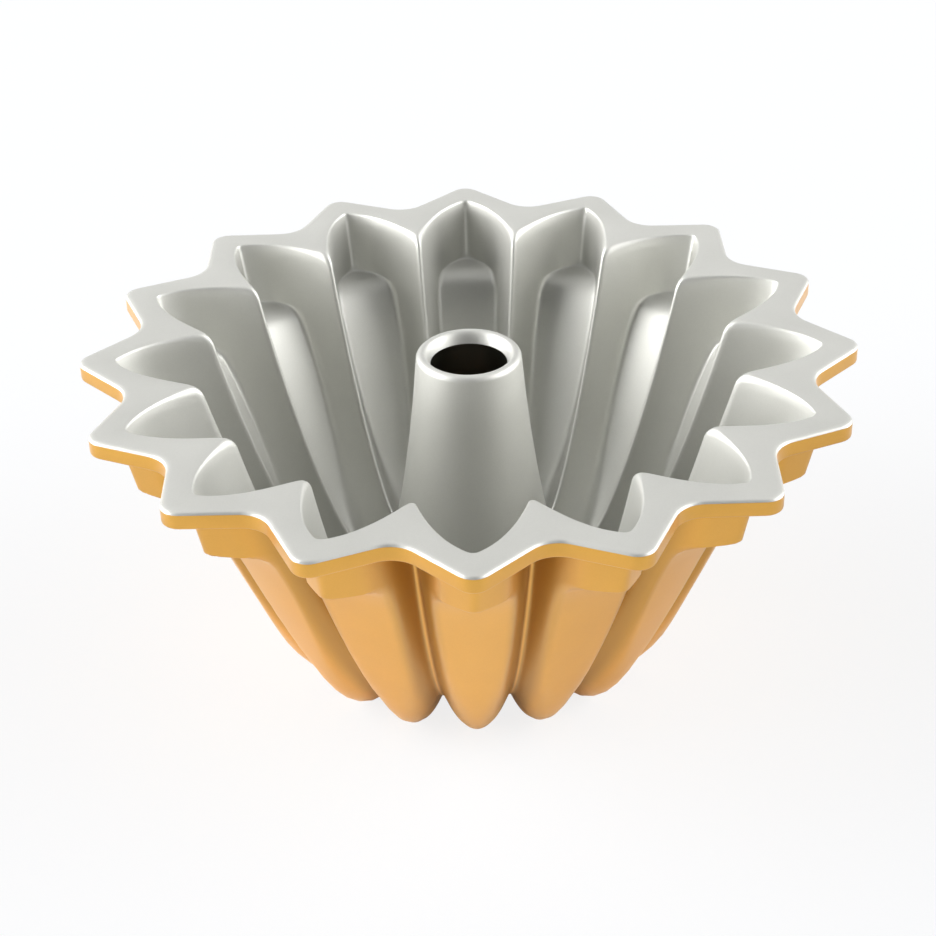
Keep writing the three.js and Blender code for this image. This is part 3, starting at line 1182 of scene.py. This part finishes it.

# Painted shade: darker colour on the sides of the valleys between petals, not along their middle, below the
# flange
PAINTED_VALLEY_SHADE = Mark(
    colour=(0.53, 0.26, 0.01),
    steps=(
        Step(Reading.ACROSS, start=0.5, full=0.8),
        Step(Reading.ACROSS, start=1.0, full=0.95),
        Step(Reading.HEIGHT, start=109.0, full=103.0),
    ),
)

# Bare metal on the level feet
BARE_FOOT = Mark(colour=(0.32, 0.31, 0.29), steps=(Step(Reading.HEIGHT, start=0.06, full=0.02),))

# Bare metal inside of the tube, without the clear coat, with painted shade that makes it near-black
BARE_BORE_AND_PAINTED_SHADE = Mark((0.085, 0.083, 0.06), (Step(Reading.RADIUS, start=27.0, full=21.6),), coated=False)


@dataclass(frozen=True)
class Finish:
    """A satin metal finish: a clouded colour over fine grain, with flakes that catch the light unevenly.

    Colours are linear. Sizes are in millimetres. The marks lie over the colour, in order.
    """

    slot: str
    colour: Colour
    shade: Colour
    metallic: float
    roughness: float
    roughness_spread: float
    grain_size: float
    grain_depth: float
    flake_size: float
    flake_share: float
    grain_detail: float = 4.0
    cloud_size: float = 22.0
    cloud_detail: float = 3.0
    cloud_share: float = 1.2
    coat: float = 0.0
    coat_roughness: float = 0.35
    coat_ior: float = 1.5
    marks: tuple[Mark, ...] = ()

    def material(self) -> bpy.types.Material:
        """Makes the finish's node material.

        Returns:
            The material.
        """
        material = bpy.data.materials.new(self.slot)
        material.use_nodes = True
        bench = NodeBench(material.node_tree)
        spot = Spot(bench)
        cloud = self.noise(bench, spot, self.cloud_size, self.cloud_detail)
        grain = self.noise(bench, spot, self.grain_size, self.grain_detail)
        cells = {"Vector": spot.place, "Scale": 1.0 / (self.flake_size * MM)}
        flakes = bench.value("ShaderNodeTexVoronoi", "Color", None, cells)
        share = (0.5 + (cloud - 0.5) * self.cloud_share + (flakes - 0.5) * self.flake_share).clipped()
        colour = bench.mix_colours(share, opaque(self.shade), opaque(self.colour))
        coat: Value | float = self.coat
        for mark in self.marks:
            marked = mark.share(spot)
            colour = bench.mix_colours(marked, colour, opaque(mark.colour))
            if not mark.coated:
                coat = (1.0 - marked) * coat
        relief = {"Strength": 1.0, "Distance": self.grain_depth * MM, "Height": grain}
        bump = bench.add("ShaderNodeBump", None, relief)
        surface = bench.add(
            "ShaderNodeBsdfPrincipled",
            None,
            {
                "Base Color": colour,
                "Metallic": self.metallic,
                "Roughness": self.roughness + self.roughness_spread * (cloud + grain - 1.0),
                "Normal": bump.outputs["Normal"],
                "Coat Weight": coat,
                "Coat Roughness": self.coat_roughness,
                "Coat IOR": self.coat_ior,
            },
        )
        bench.add("ShaderNodeOutputMaterial", None, {"Surface": surface.outputs["BSDF"]})
        return material

    @staticmethod
    def noise(bench: NodeBench, spot: Spot, size: float, detail: float) -> Value:
        """Noise over the piece whose features are about size millimetres wide."""
        sockets = {"Vector": spot.place, "Scale": 1.0 / (size * MM), "Detail": detail}
        return bench.value("ShaderNodeTexNoise", "Fac", None, sockets)


@dataclass(frozen=True)
class PanFinishes:
    """The pan's three finishes."""

    lining: Finish = Finish(
        slot="release_film",
        colour=(0.66, 0.66, 0.625),
        shade=(0.60, 0.60, 0.565),
        metallic=0.64,
        roughness=0.5,
        roughness_spread=0.08,
        grain_size=0.9,
        grain_depth=0.012,
        flake_size=0.35,
        flake_share=0.35,
        marks=(PAINTED_CREST_HIGHLIGHT,),
    )
    enamel: Finish = Finish(
        slot="gold_enamel",
        colour=(0.86, 0.44, 0.037),
        shade=(0.78, 0.38, 0.026),
        metallic=0.85,
        roughness=0.4,
        roughness_spread=0.08,
        coat=0.8,
        coat_ior=1.7,
        grain_size=0.8,
        grain_depth=0.012,
        flake_size=0.3,
        flake_share=0.4,
        marks=(PAINTED_VALLEY_SHADE, BARE_FOOT, BARE_BORE_AND_PAINTED_SHADE),
    )
    casting: Finish = Finish(
        slot="casting",
        colour=(0.66, 0.66, 0.65),
        shade=(0.55, 0.55, 0.54),
        metallic=1.0,
        roughness=0.5,
        roughness_spread=0.15,
        grain_size=0.6,
        grain_depth=0.03,
        flake_size=0.4,
        flake_share=0.2,
    )


def direction(azimuth: float | np.ndarray, elevation: float | np.ndarray) -> np.ndarray:
    """Unit vectors from the pan outwards, at azimuth 0 towards -Y and at 90 towards +X.

    The cosine of the elevation is shared out between x, by the sine of the azimuth, and -y, by its cosine. The
    sine of the elevation is z.

    Args:
        azimuth: Degrees round the pan.
        elevation: Degrees above the table.

    Returns:
        The vectors, with their axes last.
    """
    around, above = np.broadcast_arrays(np.radians(azimuth), np.radians(elevation))
    return np.stack([np.sin(around) * np.cos(above), -np.cos(around) * np.cos(above), np.sin(above)], axis=-1)


@dataclass(frozen=True)
class PhotoCamera:
    """The photograph's camera, fitted to the rim points and petal ends.

    It stands on the -Y side, at a distance in millimetres and an elevation in degrees from the middle of the
    rim, and looks a little below it.
    """

    image_side: float = 936.0
    focal_pixels: float = 2138.96
    distance: float = 715.4
    elevation: float = 29.230
    pitch: float = 32.337
    yaw: float = -0.106
    roll: float = -1.376
    sensor: float = 36.0

    def build(self, height: float) -> bpy.types.Object:
        """Makes the camera and sets it as the scene's.

        Args:
            height: Height of the rim.

        Returns:
            The camera.
        """
        data = bpy.data.cameras.new("photo_camera")
        data.sensor_width = self.sensor
        data.lens = self.focal_pixels / self.image_side * self.sensor
        camera = bpy.data.objects.new("photo_camera", data)
        roll = math.radians(self.roll)
        backward = Vector(direction(-self.yaw, self.pitch))
        level = Vector((0.0, 0.0, 1.0)).cross(backward).normalized()
        upright = backward.cross(level)
        right = level * math.cos(roll) + upright * math.sin(roll)
        up = upright * math.cos(roll) - level * math.sin(roll)
        camera.matrix_world = Matrix((right, up, backward)).transposed().to_4x4()
        camera.location = (self.distance * direction(0.0, self.elevation) + np.array([0.0, 0.0, height])) * MM
        bpy.context.scene.collection.objects.link(camera)
        bpy.context.scene.camera = camera
        return camera


@dataclass(frozen=True)
class SoftLamp:
    """A far soft lamp: where it comes from and how wide it looks, in degrees, and how strongly it lights."""

    name: str
    azimuth: float
    elevation: float
    width: float
    strength: float

    def build(self) -> bpy.types.Object:
        """Makes the lamp, turned so that it shines towards the object.

        Returns:
            The lamp.
        """
        data = bpy.data.lights.new(self.name, "SUN")
        data.energy = self.strength
        data.angle = math.radians(self.width)
        lamp = bpy.data.objects.new(self.name, data)
        source = Vector(direction(self.azimuth, self.elevation))
        lamp.rotation_euler = source.to_track_quat("Z", "Y").to_euler()
        lamp.location = source
        bpy.context.scene.collection.objects.link(lamp)
        return lamp


@dataclass(frozen=True)
class Studio:
    """Plain pale floor, white surroundings, soft lamps on both sides and a dark card. Lengths in metres."""

    # Floor, with the share of plain white that it shows to the camera and in a reflection
    floor_half: float = 6.0
    floor_colour: Colour = (0.84, 0.89, 0.97)
    floor_glow: float = 0.83
    mirrored_glow: float = 0.1

    # Surroundings: their share of white in a reflection, and their strength as a light
    mirrored_sky: float = 0.88
    ambient: float = 0.15

    # Dark card behind the camera, between two azimuths and two elevations in degrees
    card_distance: float = 1.2
    card_azimuths: tuple[float, float] = (-64.0, 40.0)
    card_elevations: tuple[float, float] = (14.0, 75.0)
    card_steps: int = 16
    card_colour: Colour = (0.04, 0.04, 0.04)

    lamps: tuple[SoftLamp, ...] = (
        SoftLamp("left_softbox", azimuth=-89.0, elevation=21.0, width=60.0, strength=4.6),
        SoftLamp("right_softbox", azimuth=90.0, elevation=21.0, width=58.0, strength=3.4),
        SoftLamp("low_fill", azimuth=-66.0, elevation=3.0, width=44.0, strength=2.2),
    )

    def build(self) -> None:
        """Builds the floor, the card, the surroundings and the lamps, and sets the plain view transform."""
        bpy.context.scene.view_settings.view_transform = "Standard"
        self.floor()
        self.dark_card()
        self.surroundings()
        for lamp in self.lamps:
            lamp.build()

    @staticmethod
    def sheet(name: str, points: np.ndarray) -> tuple[bpy.types.Object, NodeBench]:
        """Makes a stage object over a grid of points, with an empty material.

        Args:
            name: Name of the object and its material.
            points: Points by row, column and axis.

        Returns:
            The object, and the bench for its material.
        """
        rows, columns = points.shape[:2]
        index = np.arange(rows * columns).reshape(rows, columns)
        quads = np.stack([index[:-1, :-1], index[:-1, 1:], index[1:, 1:], index[1:, :-1]], axis=-1)
        mesh = bpy.data.meshes.new(name)
        mesh.from_pydata(points.reshape(-1, 3), [], quads.reshape(-1, 4))
        sheet = bpy.data.objects.new(name, mesh)
        bpy.context.scene.collection.objects.link(sheet)
        material = bpy.data.materials.new(name)
        material.use_nodes = True
        mesh.materials.append(material)
        return sheet, NodeBench(material.node_tree)

    def floor(self) -> None:
        """Makes the floor, a flat sheet at the table's height, white paper that keeps the pan's shadow."""
        x, y = np.meshgrid([-self.floor_half, self.floor_half], [-self.floor_half, self.floor_half])
        _, bench = self.sheet("floor", np.stack([x, y, np.zeros_like(x)], axis=-1))
        paper = bench.add("ShaderNodeBsdfDiffuse", None, {"Color": opaque(self.floor_colour)})
        glow = bench.add("ShaderNodeEmission", None, {"Color": opaque(WHITE), "Strength": 1.0})
        share = self.seen(bench, self.floor_glow, self.mirrored_glow)
        mixed = {0: share, 1: paper.outputs["BSDF"], 2: glow.outputs["Emission"]}
        surface = bench.add("ShaderNodeMixShader", None, mixed)
        bench.add("ShaderNodeOutputMaterial", None, {"Surface": surface.outputs["Shader"]})

    def dark_card(self) -> None:
        """Makes the dark card, a patch of a sphere round the pan that the camera doesn't see."""
        azimuths = np.linspace(*self.card_azimuths, self.card_steps)[None, :]
        elevations = np.linspace(*self.card_elevations, self.card_steps)[:, None]
        card, bench = self.sheet("dark_card", self.card_distance * direction(azimuths, elevations))
        card.visible_camera = False
        surface = bench.add("ShaderNodeBsdfDiffuse", None, {"Color": opaque(self.card_colour)})
        bench.add("ShaderNodeOutputMaterial", None, {"Surface": surface.outputs["BSDF"]})

    @staticmethod
    def seen(bench: NodeBench, straight: float, mirrored: float) -> Value:
        """Share of plain white in what a ray sees.

        Args:
            bench: Where the nodes go.
            straight: Share for a ray from the camera.
            mirrored: Share for a ray by way of a reflection or glass.

        Returns:
            The share, 0 for any other ray.
        """
        path = bench.add("ShaderNodeLightPath")
        names = ("Is Camera Ray", "Is Glossy Ray", "Is Transmission Ray")
        camera, glossy, through = (Value(bench, path.outputs[name]) for name in names)
        return (camera * straight + (glossy + through) * mirrored).clipped()

    def surroundings(self) -> None:
        """Makes a white world: full to the camera, a little less in reflections, and least as a light."""
        world = bpy.data.worlds.new("studio")
        bpy.context.scene.world = world
        world.use_nodes = True
        bench = NodeBench(world.node_tree)
        strength = self.ambient + (1.0 - self.ambient) * self.seen(bench, 1.0, self.mirrored_sky)
        background = bench.add("ShaderNodeBackground", None, {"Color": opaque(WHITE), "Strength": strength})
        bench.add("ShaderNodeOutputWorld", None, {"Surface": background.outputs["Background"]})


def main() -> None:
    """Builds the studio, the camera and the pan, and reports each piece."""
    logging.basicConfig(level=logging.INFO, format="%(message)s")
    sizes = PanSizes(
        tip_radius=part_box("outer_enamel")[1].x / MM,
        height=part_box("nonstick_lining")[1].z / MM,
    )
    PhotoCamera().build(sizes.height)
    Studio().build()
    for piece in FlutedPan(sizes).build(PanFinishes()):
        log.info("%s: %d faces", piece.name, len(piece.data.polygons))


if __name__ == "__main__":
    main()
